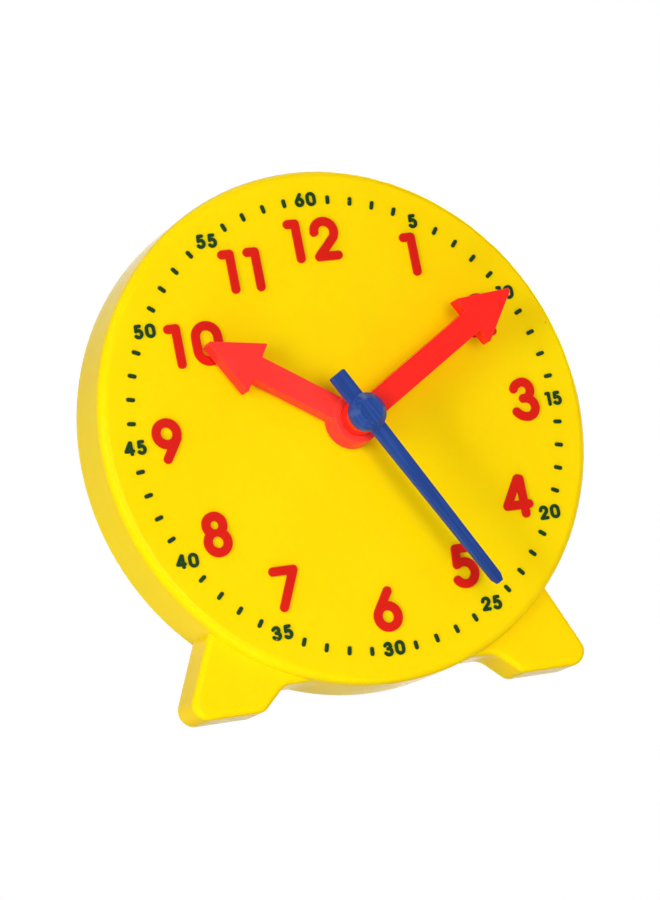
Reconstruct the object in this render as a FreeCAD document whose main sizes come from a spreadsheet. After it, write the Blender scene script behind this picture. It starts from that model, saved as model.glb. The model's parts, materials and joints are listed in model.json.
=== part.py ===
# Geared teaching clock: a round case on two feet, three hands and a twelve to one gear train inside.
import FreeCAD, Part
import math
import os
import re
import Sketcher

doc = FreeCAD.newDocument("TeachingClock")

# Driving dimensions, in millimetres and degrees. Heights are measured forwards from the dial face and
# depths backwards from it. Angles of hands run clockwise from twelve.
DIMENSIONS = [
    ("case_radius", 50.0, "outer radius of the round case"),
    ("case_depth", 13.0, "dial face to back edge"),
    ("rim_rounding", 1.8, "rounding of the front rim"),
    ("dial_thickness", 2.0, "wall behind the dial face"),
    ("case_wall", 2.0, "side wall of the case and the feet"),
    ("case_lift", 1.6, "soles up to the lowest point of the round case"),
    ("foot_setback", 2.2, "front of the feet behind the dial face"),
    ("foot_step", 2.4, "back of the feet in front of the back edge of the case"),
    ("foot_lean", 25.2, "angle of the outer edge of a foot from upright"),
    ("heel_lean", 48.2, "angle of the inner edge of a foot from upright"),
    ("crotch_inset", 2.8, "lowest point of the case up to where a foot turns in to it"),
    ("toe_rounding", 3.0, "rounding of the outer corner of a foot"),
    ("heel_rounding", 2.5, "rounding of the inner corner of a foot"),
    ("crotch_rounding", 4.0, "rounding where the foot turns in to the case"),
    ("foot_edge_rounding", 1.2, "rounding along the front edge of a foot"),
    ("cover_thickness", 1.6, "back cover plate"),
    ("cover_gap", 0.25, "clearance round the back cover"),
    ("case_screw_inset", 9.0, "side of the case in to the circle of case screws"),
    ("case_screw_angle", 45.0, "angle of the first case screw"),
    ("case_screw_count", 4.0, "case screws"),
    ("case_boss_radius", 3.2, "boss for a case screw"),
    ("plate_screw_angle", 90.0, "angle of the first plate screw"),
    ("plate_screw_count", 3.0, "plate screws"),
    ("plate_boss_radius", 2.8, "boss for a plate screw"),
    ("screw_shank_radius", 1.1, "shank of the case and plate screws"),
    ("screw_hole_gap", 0.15, "radial clearance of a screw in the piece it clamps"),
    ("screw_head_radius", 2.3, "head of the case and plate screws"),
    ("case_screw_head_height", 0.8, "head of a case screw, sunk flush"),
    ("plate_screw_head_height", 1.2, "head of a plate screw"),
    ("screw_recess_gap", 0.25, "radial clearance round a sunk head"),
    ("case_screw_bite", 6.0, "length of a case screw inside its boss"),
    ("plate_screw_bite", 4.5, "length of a plate screw inside its boss"),
    ("cross_width", 0.6, "width of the cross recess in a screw head"),
    ("cross_length", 2.6, "length of the cross recess in a screw head"),
    ("cross_depth", 0.45, "depth of the cross recess in a screw head"),
    ("running_gap", 0.06, "radial clearance of a turning fit"),
    ("seat_gap", 0.3, "axial clearance between turning pieces"),
    ("pinion_teeth", 12.0, "teeth of the minute pinion and of the idler pinion"),
    ("idler_teeth", 36.0, "teeth of the idler wheel"),
    ("hour_teeth", 48.0, "teeth of the hour wheel"),
    ("pressure_angle", 20.0, "pressure angle of the teeth"),
    ("tooth_backlash", 0.1, "thinning of each tooth at the pitch circle"),
    ("cover_clearance", 0.4, "heads of the plate screws to the back cover"),
    ("wheel_hole_count", 5.0, "holes in each wheel"),
    ("post_radius", 1.25, "fixed centre post"),
    ("post_head_radius", 2.6, "head of the centre post"),
    ("post_head_height", 1.0, "head of the centre post"),
    ("arbor_wall", 1.1, "wall of the hollow minute arbor"),
    ("pipe_wall", 1.15, "wall of the hour wheel's pipe"),
    ("plate_centre_radius", 8.0, "disc of the gear plate round the centre post"),
    ("plate_arm_radius", 4.5, "half width of an arm of the gear plate"),
    ("shaft_radius", 1.5, "knob shaft"),
    ("shaft_pivot_depth", 1.2, "front pivot of the knob shaft inside the dial wall"),
    ("pivot_boss_radius", 3.4, "boss round the front pivot of the knob shaft"),
    ("pivot_boss_height", 0.3, "boss round the front pivot of the knob shaft"),
    ("washer_thickness", 0.2, "dial washer and tension washer"),
    ("washer_dish", 0.15, "dish of the two spring washers"),
    ("dial_washer_radius", 7.5, "outer radius of the dial washer"),
    ("tension_washer_radius", 4.0, "outer radius of the tension washer"),
    ("washer_hole_gap", 0.2, "radial clearance inside a washer"),
    ("knob_radius", 9.0, "set knob"),
    ("knob_height", 5.0, "set knob"),
    ("knob_rounding", 1.0, "rounding of the outer edge of the set knob"),
    ("knob_flute_radius", 1.3, "flutes round the set knob"),
    ("knob_flute_depth", 0.7, "depth of a flute"),
    ("knob_flute_count", 16.0, "flutes round the set knob"),
    ("knob_socket_depth", 3.0, "shaft inside the set knob"),
    ("knob_recess_radius", 3.4, "recess for the knob screw's head"),
    ("knob_recess_depth", 1.2, "recess for the knob screw's head"),
    ("knob_screw_shank_radius", 0.8, "shank of the knob screw"),
    ("knob_screw_head_radius", 2.2, "head of the knob screw"),
    ("knob_screw_head_height", 0.9, "head of the knob screw"),
    ("knob_screw_bite", 4.0, "length of the knob screw inside the shaft"),
    ("hour_angle", 303.2, "hour hand in the photograph"),
    ("minute_angle", 59.4, "minute hand in the photograph"),
    ("second_angle", 150.0, "second hand in the photograph"),
    ("hub_seat_gap", 0.4, "dial face to the back of the hour hand's hub"),
    ("hour_blade_height", 0.75, "dial face to the back of the hour hand's blade"),
    ("blade_thickness", 3.1, "blades of the hour hand and the minute hand"),
    ("hour_hub_top", 4.4, "dial face to the front of the hour hand's hub"),
    ("hour_hub_radius", 5.2, "back of the hub of the hour hand"),
    ("hour_hub_taper", 0.45, "hub of the hour hand, back to front"),
    ("hour_reach", 31.9, "tip of the hour hand"),
    ("minute_reach", 40.9, "tip of the minute hand"),
    ("minute_hub_radius", 3.6, "hub of the minute hand"),
    ("hand_gap", 0.2, "axial clearance between one hand and the next"),
    ("blade_width", 4.7, "shafts of the hour hand and the minute hand"),
    ("head_length", 10.45, "arrow head of the hour hand and the minute hand"),
    ("head_width", 10.6, "arrow head of the hour hand and the minute hand"),
    ("head_tip_width", 0.7, "blunt end of an arrow head"),
    ("hand_edge_rounding", 0.2, "rounding of the front edges of the hands"),
    ("head_corner_rounding", 0.25, "rounding of the wide corners of an arrow head"),
    ("hub_edge_rounding", 0.25, "rounding of the front edge of the hour hand's hub"),
    ("second_reach", 40.6, "tip of the second hand"),
    ("second_tail", 9.2, "tail of the second hand"),
    ("second_thickness", 1.2, "blade of the second hand"),
    ("second_root_width", 3.2, "second hand at its hub"),
    ("second_tip_width", 2.2, "second hand before its rounded tip"),
    ("second_tip_taper", 1.3, "length of the tapered tip of the second hand"),
    ("second_point_width", 1.2, "end of the second hand"),
    ("second_tail_width", 3.45, "tail of the second hand"),
    ("tail_corner_rounding", 0.4, "rounding of the corners of the second hand's tail"),
    ("cap_radius", 3.65, "centre cap of the second hand"),
    ("cap_height", 3.0, "back of the second hand to the top of its cap"),
    ("cap_bevel_height", 1.45, "bevel round the top of the cap"),
    ("cap_bevel_width", 1.3, "bevel round the top of the cap"),
    ("cap_roof", 0.8, "cap above the end of the centre post"),
    ("numeral_relief", 0.45, "hour numerals above the dial face"),
    ("mark_relief", 0.25, "minute numbers and ticks above the dial face"),
    ("mark_inset", 6.1, "side of the case in to the circle of minute numbers and ticks"),
]

# Proportions with no length of their own. Those of the teeth are shares of the module, and the two of the
# wheels' thicknesses are shares of the room between the dial and the plate.
wheel_addendum_share = 0.7
pinion_addendum_share = 1.0
dedendum_share = 1.25
hour_wheel_share = 0.373
minute_pinion_share = 0.403

# Shares of the case radius.
module_share = 0.02
wheel_hole_circle_share = 0.24
wheel_hole_share = 0.064
plate_screw_circle_share = 0.54
toe_reach_share = 0.854
heel_reach_share = 0.538
foot_root_share = 0.68
foot_inner_share = 0.2
numeral_height_share = 0.172
numeral_stroke_share = 0.0344
numeral_gap_share = 0.039
number_height_share = 0.056
number_stroke_share = 0.0132
number_gap_share = 0.0086
tick_length_share = 0.035
tick_width_share = 0.0156
match_share = 0.0004

sheet = doc.addObject("Spreadsheet::Sheet", "Sizes")
for row, (alias, number, note) in enumerate(DIMENSIONS, start=1):
    sheet.set("A%d" % row, alias)
    sheet.set("B%d" % row, str(number))
    sheet.setAlias("B%d" % row, alias)
    sheet.set("C%d" % row, note)
doc.recompute()
ALIASES = {alias for alias, number, note in DIMENSIONS}


def value(text):
    """The number that an expression in the sheet's sizes comes to."""
    return float(sheet.evalExpression(text))


def bound(text):
    """The same expression as another object of the document writes it."""
    return re.sub(r"[a-z][a-z_]*", lambda word: "Sizes." * (word.group() in ALIASES) + word.group(), text)


# Sizes worked out from the driving dimensions.
SOLE_DROP = "(case_radius + case_lift)"
FOOT_BACK = "(case_depth - foot_step)"
TOE_REACH = "(case_radius * %s)" % toe_reach_share
HEEL_REACH = "(case_radius * %s)" % heel_reach_share
CASE_SCREW_CIRCLE = "(case_radius - case_screw_inset)"
PLATE_SCREW_CIRCLE = "(case_radius * %s)" % plate_screw_circle_share
MARK_CIRCLE = "(case_radius - mark_inset)"
COVER_FRONT = "(case_depth - cover_thickness)"
GEAR_MODULE = "(case_radius * %s)" % module_share
CENTRE_DISTANCE = "(%s * (pinion_teeth + idler_teeth) / 2)" % GEAR_MODULE
HOUR_MODULE = "(2 * %s / (pinion_teeth + hour_teeth))" % CENTRE_DISTANCE
ARBOR_BORE = "(post_radius + running_gap)"
ARBOR_RADIUS = "(%s + arbor_wall)" % ARBOR_BORE
PIPE_BORE = "(%s + running_gap)" % ARBOR_RADIUS
PIPE_RADIUS = "(%s + pipe_wall)" % PIPE_BORE
DIAL_BORE = "(%s + running_gap)" % PIPE_RADIUS
WASHER_SPACE = "(washer_thickness + 2 * washer_dish)"
HOUR_WHEEL_FRONT = "(dial_thickness + %s)" % WASHER_SPACE
PLATE_BACK = "(%s - cover_clearance - plate_screw_head_height)" % COVER_FRONT
GEAR_ROOM = "(%s - %s - 2 * seat_gap)" % (PLATE_BACK, HOUR_WHEEL_FRONT)
HOUR_WHEEL_BACK = "(%s + %s * %s)" % (HOUR_WHEEL_FRONT, GEAR_ROOM, hour_wheel_share)
MINUTE_PINION_FRONT = "(%s + seat_gap)" % HOUR_WHEEL_BACK
MINUTE_PINION_BACK = "(%s + %s * %s)" % (MINUTE_PINION_FRONT, GEAR_ROOM, minute_pinion_share)
PLATE_FRONT = "(%s + seat_gap)" % MINUTE_PINION_BACK
PLATE_THICKNESS = "(%s - %s)" % (PLATE_BACK, PLATE_FRONT)
IDLER_PINION_FRONT = "(%s + washer_dish)" % HOUR_WHEEL_FRONT
IDLER_WHEEL_FRONT = "(%s + seat_gap / 3)" % MINUTE_PINION_FRONT
IDLER_WHEEL_BACK = "(%s - %s)" % (PLATE_FRONT, WASHER_SPACE)
SHAFT_FRONT = "(dial_thickness - shaft_pivot_depth)"
KNOB_FRONT = "(case_depth + seat_gap)"
KNOB_BACK = "(%s + knob_height)" % KNOB_FRONT
SHAFT_BACK = "(%s + knob_socket_depth)" % KNOB_FRONT
KNOB_SEAT = "(%s - knob_recess_depth)" % KNOB_BACK
SCREW_PASS = "(screw_shank_radius + screw_hole_gap)"
MINUTE_HUB_BACK = "(hour_hub_top + hand_gap)"
MINUTE_TOP = "(%s + blade_thickness)" % MINUTE_HUB_BACK
SECOND_BACK = "(%s + hand_gap)" % MINUTE_TOP
CAP_TOP = "(%s + cap_height)" % SECOND_BACK
DIAL_ACROSS = "(%s - %s) / 2" % (CAP_TOP, KNOB_BACK)
IDLER_DOWN = "-" + CENTRE_DISTANCE
tolerance = value("case_radius") * match_share

nodes = []


def place(item, across="0", up="0", turn=None):
    """Puts an item's own origin on the dial face, beside the dial centre, and turns it clockwise."""
    if turn:
        item.Placement = FreeCAD.Placement(FreeCAD.Vector(), FreeCAD.Rotation(FreeCAD.Vector(0, 1, 0), 1))
        item.setExpression("Placement.Rotation.Angle", bound(turn) + " * 1 deg")
    item.setExpression("Placement.Base.x", bound(across))
    item.setExpression("Placement.Base.y", bound(DIAL_ACROSS))
    item.setExpression("Placement.Base.z", bound(SOLE_DROP + " + " + up))


def new_body(label, across="0", up="0", turn=None):
    body = doc.addObject("PartDesign::Body", "Body_" + label)
    body.Label = label
    place(body, across, up, turn)
    nodes.append(body)
    return body


def origin_part(body, role):
    return [item for item in body.Origin.OriginFeatures if item.Role == role][0]


def dial_sketch(body, name, depth):
    """An empty sketch parallel to the dial, at a depth behind its face."""
    sketch = body.newObject("Sketcher::SketchObject", name)
    sketch.AttachmentSupport = (origin_part(body, "XZ_Plane"), "")
    sketch.MapMode = "FlatFace"
    sketch.setExpression("AttachmentOffset.Base.z", bound("-(" + depth + ")"))
    return sketch


def bind(sketch, constraint, text):
    index = sketch.addConstraint(constraint)
    sketch.setExpression("Constraints[%d]" % index, bound(text))


def add_circle(sketch, radius, across="0", up="0"):
    centre = FreeCAD.Vector(value(across), value(up), 0)
    ring = sketch.addGeometry(Part.Circle(centre, FreeCAD.Vector(0, 0, 1), value(radius)), False)
    bind(sketch, Sketcher.Constraint("Radius", ring, value(radius)), radius)
    if across == "0" and up == "0":
        sketch.addConstraint(Sketcher.Constraint("Coincident", ring, 3, -1, 1))
        return
    bind(sketch, Sketcher.Constraint("DistanceX", -1, 1, ring, 3, centre.x), across)
    bind(sketch, Sketcher.Constraint("DistanceY", -1, 1, ring, 3, centre.y), up)


def add_outline(sketch, corners):
    """A closed outline of straight edges, each corner held by its two distances from the origin."""
    points = [FreeCAD.Vector(value(across), value(up), 0) for across, up in corners]
    edges = []
    for start, end in zip(points, points[1:] + points[:1]):
        edges.append(sketch.addGeometry(Part.LineSegment(start, end), False))
    for edge, following in zip(edges, edges[1:] + edges[:1]):
        sketch.addConstraint(Sketcher.Constraint("Coincident", edge, 2, following, 1))
    for edge, point, (across, up) in zip(edges, points, corners):
        bind(sketch, Sketcher.Constraint("DistanceX", -1, 1, edge, 1, point.x), across)
        bind(sketch, Sketcher.Constraint("DistanceY", -1, 1, edge, 1, point.y), up)


def extrude(body, kind, sketch, length):
    """A pad or a pocket that runs backwards from its sketch."""
    before = body.Tip.Shape.Volume if kind == "Pocket" else 0
    feature = body.newObject("PartDesign::" + kind, sketch.Name + "_" + kind.lower())
    feature.Profile = sketch
    feature.setExpression("Length", bound(length))
    feature.Reversed = kind == "Pad"
    sketch.Visibility = False
    doc.recompute()
    if kind == "Pocket" and not feature.Shape.Volume < before:
        raise ValueError(sketch.Name + " cuts nothing")
    return feature


def pad(body, sketch, length):
    return extrude(body, "Pad", sketch, length)


def pocket(body, sketch, length):
    return extrude(body, "Pocket", sketch, length)


def round_disc(body, name, depth, length, radius, across="0", up="0"):
    sketch = dial_sketch(body, name, depth)
    add_circle(sketch, radius, across, up)
    return pad(body, sketch, length)


def round_hole(body, name, depth, length, radius, across="0", up="0"):
    sketch = dial_sketch(body, name, depth)
    add_circle(sketch, radius, across, up)
    return pocket(body, sketch, length)


def repeat_round(body, originals, count):
    pattern = body.newObject("PartDesign::PolarPattern", originals[0].Name + "_ring")
    pattern.Originals = originals
    pattern.Axis = (origin_part(body, "Y_Axis"), [""])
    pattern.Angle = 360
    pattern.setExpression("Occurrences", bound(count))
    body.Tip = pattern
    doc.recompute()
    return pattern


def mirror_across(body, originals):
    mirror = body.newObject("PartDesign::Mirrored", originals[0].Name + "_mirror")
    mirror.Originals = originals
    mirror.MirrorPlane = (origin_part(body, "YZ_Plane"), [""])
    body.Tip = mirror
    doc.recompute()
    return mirror


def dress(body, kind, name, wanted, size):
    """A fillet or a chamfer on the edges of the body that a test picks."""
    base = body.Tip
    picked = ["Edge%d" % number for number, edge in enumerate(base.Shape.Edges, start=1) if wanted(edge)]
    if not picked:
        raise ValueError(name + " finds no edge")
    feature = body.newObject("PartDesign::" + kind, name)
    feature.Base = (base, picked)
    feature.setExpression("Radius" if kind == "Fillet" else "Size", bound(size))
    doc.recompute()
    if not feature.isValid():
        raise ValueError(name + " can't be made")
    return feature


def in_plane(edge, depth):
    """True where an edge lies in the plane at a depth behind the dial face."""
    middle = edge.valueAt((edge.FirstParameter + edge.LastParameter) / 2)
    points = [vertex.Point for vertex in edge.Vertexes] + [middle]
    return all(abs(point.y - value(depth)) < tolerance for point in points)


def radius_of(edge):
    """Distance of the middle of an edge from the item's own axis."""
    middle = edge.valueAt((edge.FirstParameter + edge.LastParameter) / 2)
    return math.hypot(middle.x, middle.z)


def turned(body, name, profile, across="0", up="0"):
    """A round solid on an axis parallel to the gear arbors. Each profile point is a depth and a radius."""
    sketch = body.newObject("Sketcher::SketchObject", name)
    sketch.AttachmentSupport = (origin_part(body, "YZ_Plane"), "")
    sketch.MapMode = "FlatFace"
    sketch.setExpression("AttachmentOffset.Base.y", bound(up))
    sketch.setExpression("AttachmentOffset.Base.z", bound(across))
    add_outline(sketch, profile)
    feature = body.newObject("PartDesign::Revolution", name + "_turned")
    feature.Profile = sketch
    feature.ReferenceAxis = (sketch, ["H_Axis"])
    feature.Angle = 360
    sketch.Visibility = False
    doc.recompute()
    return feature


def on_circle(radius, start):
    """The two distances of a point on a circle round the dial centre."""
    return "%s * cos(%s * 1 deg)" % (radius, start), "%s * sin(%s * 1 deg)" % (radius, start)


# The case: a round shell with the dial as its front wall, standing on two hollow feet.
def foot_corners(inset):
    """Outline of the right foot, moved inwards by an inset, with its root inside the round shell."""

    def outer(rise):
        edge = "%s - (%s) * tan(foot_lean * 1 deg)" % (TOE_REACH, rise)
        return "(%s - (%s) / cos(foot_lean * 1 deg))" % (edge, inset)

    def inner(rise):
        edge = "%s - (%s) * tan(heel_lean * 1 deg)" % (HEEL_REACH, rise)
        return "(%s + (%s) / cos(heel_lean * 1 deg))" % (edge, inset)

    root = "(%s - case_radius * %s)" % (SOLE_DROP, foot_root_share)
    crotch = "(case_lift + crotch_inset + %s)" % inset

    def below_centre(rise):
        return "%s - %s" % (rise, SOLE_DROP)

    return [
        (outer(root), below_centre(root)),
        (outer(inset), below_centre(inset)),
        (inner(inset), below_centre(inset)),
        (inner(crotch), below_centre(crotch)),
        ("case_radius * %s" % foot_inner_share, below_centre(crotch)),
    ]


def add_feet(body, kind, name, depth, length, inset):
    sketch = dial_sketch(body, name, depth)
    add_outline(sketch, foot_corners(inset))
    foot = pad(body, sketch, length) if kind == "Pad" else pocket(body, sketch, length)
    return mirror_across(body, [foot])


def round_foot_corner(body, name, corner, size):
    across, up = (value(text) for text in corner)

    def wanted(edge):
        ends = [vertex.Point for vertex in edge.Vertexes]
        return all(math.hypot(abs(end.x) - across, end.z - up) < tolerance for end in ends)

    return dress(body, "Fillet", name, wanted, size)


def make_boss_ring(body, name, circle, start, count, radius, length, bite):
    """A ring of screw bosses on the back of the dial, each with its pilot hole."""
    across, up = on_circle(circle, start)
    boss = round_disc(body, name, "dial_thickness", length, radius, across, up)
    pilot_depth = "(dial_thickness + %s - %s)" % (length, bite)
    pilot = round_hole(body, name + "_pilot", pilot_depth, bite, "screw_shank_radius", across, up)
    return repeat_round(body, [boss, pilot], count)


def make_front_case():
    body = new_body("front_case")
    add_feet(body, "Pad", "feet", "foot_setback", "%s - foot_setback" % FOOT_BACK, "0")
    corners = foot_corners("0")
    round_foot_corner(body, "toes", corners[1], "toe_rounding")
    round_foot_corner(body, "heels", corners[2], "heel_rounding")
    round_foot_corner(body, "crotches", corners[3], "crotch_rounding")
    dress(body, "Fillet", "feet_edges", lambda edge: in_plane(edge, "foot_setback"), "foot_edge_rounding")
    foot_floor = "(foot_setback + case_wall)"
    add_feet(body, "Pocket", "feet_hollow", foot_floor, "%s - %s" % (FOOT_BACK, foot_floor), "case_wall")
    round_disc(body, "shell", "0", "case_depth", "case_radius")
    dress(body, "Fillet", "rim", lambda edge: in_plane(edge, "0"), "rim_rounding")
    round_hole(body, "hollow", "dial_thickness", "case_depth - dial_thickness", "case_radius - case_wall")
    make_boss_ring(
        body,
        "case_bosses",
        CASE_SCREW_CIRCLE,
        "case_screw_angle",
        "case_screw_count",
        "case_boss_radius",
        "(%s - dial_thickness)" % COVER_FRONT,
        "case_screw_bite",
    )
    make_boss_ring(
        body,
        "plate_bosses",
        PLATE_SCREW_CIRCLE,
        "plate_screw_angle",
        "plate_screw_count",
        "plate_boss_radius",
        "(%s - dial_thickness)" % PLATE_FRONT,
        "plate_screw_bite",
    )
    boss_height, boss_radius = "pivot_boss_height", "pivot_boss_radius"
    round_disc(body, "pivot_boss", "dial_thickness", boss_height, boss_radius, "0", IDLER_DOWN)
    pivot_length = "(shaft_pivot_depth + pivot_boss_height)"
    round_hole(body, "pivot_hole", SHAFT_FRONT, pivot_length, "shaft_radius + running_gap", "0", IDLER_DOWN)
    round_hole(body, "centre_hole", "0", "dial_thickness", DIAL_BORE)


def make_back_cover():
    body = new_body("back_cover")
    round_disc(body, "plate", COVER_FRONT, "cover_thickness", "case_radius - case_wall - cover_gap")
    across, up = on_circle(CASE_SCREW_CIRCLE, "case_screw_angle")
    passage = round_hole(body, "passage", COVER_FRONT, "cover_thickness", SCREW_PASS, across, up)
    recess = round_hole(
        body,
        "recess",
        "case_depth - case_screw_head_height",
        "case_screw_head_height",
        "screw_head_radius + screw_recess_gap",
        across,
        up,
    )
    repeat_round(body, [passage, recess], "case_screw_count")
    shaft_pass = "shaft_radius + running_gap"
    round_hole(body, "shaft_passage", COVER_FRONT, "cover_thickness", shaft_pass, "0", IDLER_DOWN)


# The figures: strokes of one width with round ends, in a box whose height runs along the strokes'
# middle lines from 0 at the foot to 1 at the top. A run of points is a line, an arc is given by its
# centre, radius, and start and end angles, and a ring by its centre and radius.
figure_stroke_shares = {
    "0": [
        ("arc", (0, 0.675), 0.325, 0, 180),
        ("line", (-0.325, 0.675), (-0.325, 0.325)),
        ("arc", (0, 0.325), 0.325, 180, 360),
        ("line", (0.325, 0.325), (0.325, 0.675)),
    ],
    "1": [("line", (-0.225, 1), (0, 1), (0, 0))],
    "2": [("arc", (0, 0.7), 0.3, -45, 178), ("line", (0.212, 0.488), (-0.276, 0), (0.3, 0))],
    "3": [
        ("arc", (0, 0.765), 0.235, -90, 90),
        ("arc", (0, 0.7), 0.3, 90, 155),
        ("arc", (0.03, 0.265), 0.265, -90, 90),
        ("arc", (0.03, 0.42), 0.42, -144, -90),
        ("line", (-0.03, 0.53), (0.03, 0.53)),
    ],
    "4": [("line", (0.19, 0), (0.19, 0.98)), ("line", (0.12, 1), (-0.337, 0.256), (0.337, 0.256))],
    "5": [("line", (0.19, 1), (-0.15, 1), (-0.187, 0.558)), ("arc", (0, 0.31), 0.31, -144, 127)],
    "6": [("ring", (0, 0.3), 0.3), ("line", (0.115, 1), (-0.248, 0.469))],
    "7": [("line", (-0.32, 1), (0.28, 1), (-0.18, 0))],
    "8": [("ring", (0, 0.74), 0.244), ("ring", (0.015, 0.265), 0.285)],
    "9": [("ring", (0, 0.7), 0.3), ("line", (-0.09, 0), (0.275, 0.545))],
}
# Left and right ends of each figure's middle lines in the same box.
figure_side_shares = {
    "0": (-0.325, 0.325),
    "1": (-0.225, 0),
    "2": (-0.3, 0.3),
    "3": (-0.31, 0.295),
    "4": (-0.337, 0.337),
    "5": (-0.27, 0.31),
    "6": (-0.3, 0.3),
    "7": (-0.32, 0.28),
    "8": (-0.29, 0.29),
    "9": (-0.3, 0.3),
}


def bar(start, end, half_width):
    """Outline face of a straight stroke with round ends."""
    along = (end - start).normalize() * half_width
    side = FreeCAD.Vector(-along.z, 0, along.x)
    edges = [
        Part.LineSegment(start + side, end + side).toShape(),
        Part.Arc(end + side, end + along, end - side).toShape(),
        Part.LineSegment(end - side, start - side).toShape(),
        Part.Arc(start - side, start - along, start + side).toShape(),
    ]
    return Part.Face(Part.Wire(edges))


def around(centre, radius, degrees):
    angle = math.radians(degrees)
    return centre + FreeCAD.Vector(radius * math.cos(angle), 0, radius * math.sin(angle))


def bow(centre, radius, start, end, half_width):
    """Outline face of an arc stroke with round ends."""
    middle = (start + end) / 2
    outer = [around(centre, radius + half_width, angle) for angle in (start, middle, end)]
    inner = [around(centre, radius - half_width, angle) for angle in (end, middle, start)]
    end_cap = around(centre, radius, end) + around(FreeCAD.Vector(), half_width, end + 90)
    start_cap = around(centre, radius, start) + around(FreeCAD.Vector(), half_width, start - 90)
    edges = [
        Part.Arc(*outer).toShape(),
        Part.Arc(outer[2], end_cap, inner[0]).toShape(),
        Part.Arc(*inner).toShape(),
        Part.Arc(inner[2], start_cap, outer[0]).toShape(),
    ]
    return Part.Face(Part.Wire(edges))


def disc(centre, radius):
    """Face of a full circle."""
    return Part.Face(Part.Wire(Part.makeCircle(radius, centre, FreeCAD.Vector(0, 1, 0))))


def figure_solid(figure, corner, scale, half_width, relief):
    """One raised figure whose box has its foot at a corner. Its rings stay open in the middle."""

    def spot(shares):
        return corner + FreeCAD.Vector(shares[0], 0, shares[1]) * scale

    faces = []
    openings = []
    for stroke in figure_stroke_shares[figure]:
        if stroke[0] == "line":
            faces += [bar(spot(a), spot(b), half_width) for a, b in zip(stroke[1:], stroke[2:])]
        elif stroke[0] == "arc":
            faces.append(bow(spot(stroke[1]), stroke[2] * scale, stroke[3], stroke[4], half_width))
        else:
            faces.append(disc(spot(stroke[1]), stroke[2] * scale + half_width))
            openings.append(disc(spot(stroke[1]), stroke[2] * scale - half_width))
    first, *rest = [face.extrude(FreeCAD.Vector(0, -relief, 0)) for face in faces]
    solid = first.fuse(rest) if rest else first
    for opening in openings:
        solid = solid.cut(opening.extrude(FreeCAD.Vector(0, -relief, 0)))
    return solid.removeSplitter()


def word_solids(word, centre, height, stroke, gap, relief):
    """The figures of a number, side by side round a centre, as separate solids."""
    scale = height - stroke
    sides = [[share * scale for share in figure_side_shares[figure]] for figure in word]
    width = sum(right - left + stroke for left, right in sides) + gap * (len(word) - 1)
    edge = centre.x - width / 2
    solids = []
    for figure, (left, right) in zip(word, sides):
        corner = FreeCAD.Vector(edge + stroke / 2 - left, 0, centre.z - scale / 2)
        solids.append(figure_solid(figure, corner, scale, stroke / 2, relief))
        edge += right - left + stroke + gap
    return solids


def new_group(label, solids):
    """One node that holds several separate solids on the dial face."""
    group = doc.addObject("Part::Feature", "Group_" + label)
    group.Label = label
    group.Shape = Part.makeCompound(solids)
    place(group)
    nodes.append(group)


# Middle of each hour numeral, from one to twelve, as shares of the mark circle.
numeral_place_shares = [
    (0.4460, 0.7130),
    (0.7195, 0.4104),
    (0.8523, 0.0110),
    (0.7200, -0.4140),
    (0.4020, -0.6850),
    (0.0000, -0.8250),
    (-0.4415, -0.6780),
    (-0.7110, -0.4060),
    (-0.8470, 0.0140),
    (-0.6420, 0.4140),
    (-0.3640, 0.7150),
    (-0.0035, 0.8210),
]

# Middle of each minute number, from five to sixty, in the same shares.
number_place_shares = [
    (0.4893, 0.8624),
    (0.8676, 0.5000),
    (0.9980, 0.0007),
    (0.8651, -0.5000),
    (0.4977, -0.8617),
    (0.0000, -0.9952),
    (-0.4975, -0.8608),
    (-0.8621, -0.5041),
    (-0.9982, 0.0007),
    (-0.8576, 0.4957),
    (-0.4984, 0.8612),
    (-0.0009, 1.0043),
]


def place_words(words, places, shares, relief):
    """Raised numbers round the dial, each with its middle at its own place."""
    sizes = [share * value("case_radius") for share in shares]
    solids = []
    for word, (across, up) in zip(words, places):
        centre = FreeCAD.Vector(across, 0, up) * value(MARK_CIRCLE)
        solids += word_solids(str(word), centre, *sizes, value(relief))
    return solids


def make_hour_numerals():
    shares = (numeral_height_share, numeral_stroke_share, numeral_gap_share)
    new_group("hour_numerals", place_words(range(1, 13), numeral_place_shares, shares, "numeral_relief"))


def make_minute_numbers():
    shares = (number_height_share, number_stroke_share, number_gap_share)
    new_group("minute_numbers", place_words(range(5, 61, 5), number_place_shares, shares, "mark_relief"))


def make_minute_ticks():
    circle = value(MARK_CIRCLE)
    half_width = value("case_radius") * tick_width_share / 2
    half_run = value("case_radius") * tick_length_share / 2 - half_width
    relief = FreeCAD.Vector(0, -value("mark_relief"), 0)
    centre = FreeCAD.Vector()
    solids = []
    for minute in range(60):
        if minute % 5:
            start, end = [around(centre, circle + run, 90 - 6 * minute) for run in (-half_run, half_run)]
            solids.append(bar(start, end, half_width).extrude(relief))
    new_group("minute_ticks", solids)


# The hands: each is drawn pointing at twelve and turned to its place.
def arrow_corners(reach):
    base = "%s - head_length" % reach
    right = [
        ("blade_width / 2", "0"),
        ("blade_width / 2", base),
        ("head_width / 2", base),
        ("head_tip_width / 2", reach),
    ]
    left = [("-" + across, up) for across, up in reversed(right)]
    return right + left


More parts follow.
